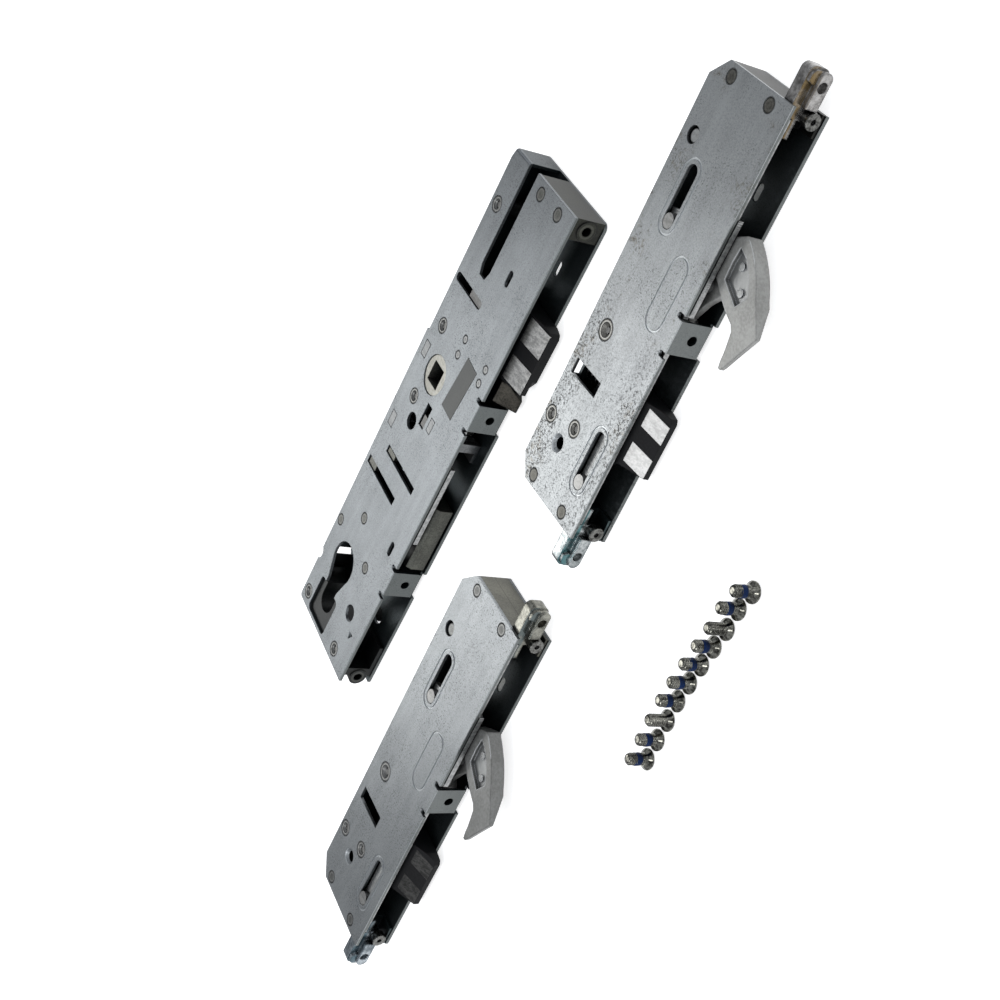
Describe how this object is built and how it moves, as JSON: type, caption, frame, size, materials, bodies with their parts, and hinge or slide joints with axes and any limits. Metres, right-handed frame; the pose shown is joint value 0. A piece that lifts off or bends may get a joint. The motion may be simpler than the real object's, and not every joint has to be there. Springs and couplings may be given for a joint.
{
  "type": "multipoint lock gearbox set",
  "caption": "Multipoint door lock set: centre gearbox case with latch, deadbolt and handle hub, hook bolt cases with slides, and loose faceplate screws.",
  "frame": {"origin": "centre of the outline box of the laid out set, at the level of the back plates", "axes": "+Y runs along the door edge towards its top, +X out of the door edge, +Z from the back plates to the front plates"},
  "size_m": [0.1936, 0.3644, 0.014],
  "materials": {
    "zinc_sheet": "zinc plated sheet, speckled and slightly worn",
    "zinc_block": "dark zinc casting, satin",
    "zinc_hook": "blasted zinc casting, satin",
    "rivet_steel": "machined steel",
    "plated_steel": "zinc plated steel",
    "black_latch": "black coated",
    "bright_face": "bright ground steel",
    "spring_wire": "spring wire",
    "yellow_passivated": "yellow passivated casting",
    "screw_steel": "dark plated steel with a blue locking patch"
  },
  "bodies": {
    "cases": {"centre_back_plate": "zinc_sheet", "centre_front_plate": "zinc_sheet", "latch_guide": "zinc_sheet", "centre_top_block": "zinc_block", "centre_bottom_block": "zinc_block", "centre_tube_rivets": "rivet_steel", "centre_flush_rivets": "rivet_steel", "centre_small_rivets": "rivet_steel", "spring_cage": "plated_steel", "guide_bridge": "plated_steel", "follower_spring": "spring_wire", "latch_spring": "spring_wire", "trigger_spring": "spring_wire", "fixing_screws": "screw_steel", "upper_back_plate": "zinc_sheet", "upper_front_plate": "zinc_sheet", "upper_top_block": "zinc_block", "upper_bottom_block": "zinc_block", "upper_tube_rivets": "rivet_steel", "upper_flush_rivets": "rivet_steel", "upper_hook_pivot": "rivet_steel", "upper_latch_spring": "spring_wire", "lower_back_plate": "zinc_sheet", "lower_front_plate": "zinc_sheet", "lower_top_block": "zinc_block", "lower_bottom_block": "zinc_block", "lower_tube_rivets": "rivet_steel", "lower_flush_rivets": "rivet_steel", "lower_hook_pivot": "rivet_steel", "lower_latch_spring": "spring_wire"},
    "handle_hub": {"follower": "zinc_hook"},
    "centre_slide": {"centre_drive_slider": "plated_steel"},
    "catch": {"locking_catch": "plated_steel"},
    "latch": {"latch_body": "black_latch", "latch_face_plates": "bright_face", "latch_tail": "plated_steel"},
    "trigger_piece": {"trigger": "black_latch"},
    "bolt": {"deadbolt": "zinc_block"},
    "bolt_lever": {"key_lever": "plated_steel"},
    "upper_slide": {"upper_drive_slider": "plated_steel", "upper_slider_pins": "rivet_steel", "upper_top_connector": "yellow_passivated", "upper_bottom_connector": "yellow_passivated", "upper_connector_screws": "rivet_steel"},
    "upper_hook_arm": {"upper_hook": "zinc_hook"},
    "upper_latch": {"upper_latch_body": "black_latch", "upper_latch_face_plates": "bright_face"},
    "upper_lever": {"upper_release_lever": "plated_steel"},
    "lower_slide": {"lower_drive_slider": "plated_steel", "lower_slider_pins": "rivet_steel", "lower_top_connector": "yellow_passivated", "lower_bottom_connector": "yellow_passivated", "lower_connector_screws": "rivet_steel"},
    "lower_hook_arm": {"lower_hook": "zinc_hook"},
    "lower_latch": {"lower_latch_body": "black_latch", "lower_latch_face_plates": "bright_face"},
    "lower_lever": {"lower_release_lever": "plated_steel"}
  },
  "joints": [
    {"name": "handle_turn", "type": "hinge", "parent": "cases", "child": "handle_hub", "pos_m": [-0.07902, 0.00894, 0.007], "axis": [0, 0, 1], "range_deg": [0, 45.01], "deforming": ["follower_spring"]},
    {"name": "centre_drive", "type": "slide", "parent": "cases", "child": "centre_slide", "axis": [0, 1, 0], "range_m": [0, 0.016]},
    {"name": "catch_slide", "type": "slide", "parent": "cases", "child": "catch", "axis": [0, 1, 0], "range_m": [0, 0.0044]},
    {"name": "latch_slide", "type": "slide", "parent": "cases", "child": "latch", "axis": [-1, 0, 0], "range_m": [0, 0.0072], "stiffness_N_per_m": 400, "springref_m": -0.008, "deforming": ["latch_spring"]},
    {"name": "trigger_slide", "type": "slide", "parent": "cases", "child": "trigger_piece", "axis": [-1, 0, 0], "range_m": [0, 0.005], "stiffness_N_per_m": 150, "springref_m": -0.006, "deforming": ["trigger_spring"]},
    {"name": "bolt_slide", "type": "slide", "parent": "cases", "child": "bolt", "axis": [1, 0, 0], "range_m": [0, 0.02]},
    {"name": "bolt_lever_turn", "type": "hinge", "parent": "cases", "child": "bolt_lever", "pos_m": [-0.06402, -0.07246, 0.007], "axis": [0, 0, 1], "range_deg": [-58.4, 0]},
    {"name": "upper_drive", "type": "slide", "parent": "cases", "child": "upper_slide", "axis": [-0.059, 0.9983, 0], "range_m": [0, 0.016]},
    {"name": "upper_hook_swing", "type": "hinge", "parent": "cases", "child": "upper_hook_arm", "pos_m": [0.01313, 0.093, 0.005], "axis": [0, 0, 1], "range_deg": [0, 62.01]},
    {"name": "upper_latch_slide", "type": "slide", "parent": "cases", "child": "upper_latch", "axis": [-0.9983, -0.059, 0], "range_m": [0, 0.0062], "stiffness_N_per_m": 350, "springref_m": -0.008, "deforming": ["upper_latch_spring"]},
    {"name": "upper_lever_turn", "type": "hinge", "parent": "cases", "child": "upper_lever", "pos_m": [-0.00496, 0.07881, 0.003], "axis": [0, 0, 1], "range_deg": [0, 5]},
    {"name": "lower_drive", "type": "slide", "parent": "cases", "child": "lower_slide", "axis": [-0.0469, 0.9989, 0], "range_m": [0, 0.016]},
    {"name": "lower_hook_swing", "type": "hinge", "parent": "cases", "child": "lower_hook_arm", "pos_m": [0.0233, -0.09801, 0.005], "axis": [0, 0, 1], "range_deg": [0, 62.01]},
    {"name": "lower_latch_slide", "type": "slide", "parent": "cases", "child": "lower_latch", "axis": [-0.9989, -0.0469, 0], "range_m": [0, 0.0062], "stiffness_N_per_m": 350, "springref_m": -0.008, "deforming": ["lower_latch_spring"]},
    {"name": "lower_lever_turn", "type": "hinge", "parent": "cases", "child": "lower_lever", "pos_m": [0.00504, -0.11199, 0.003], "axis": [0, 0, 1], "range_deg": [0, 5]}
  ],
  "couplings": [
    {"joint": "handle_turn", "follows": "centre_drive", "rad_per_m": 49.087},
    {"joint": "bolt_lever_turn", "follows": "bolt_slide", "rad_per_m": -50.957},
    {"joint": "upper_hook_swing", "follows": "upper_drive", "rad_per_m": 67.632},
    {"joint": "lower_hook_swing", "follows": "lower_drive", "rad_per_m": 67.632}
  ]
}
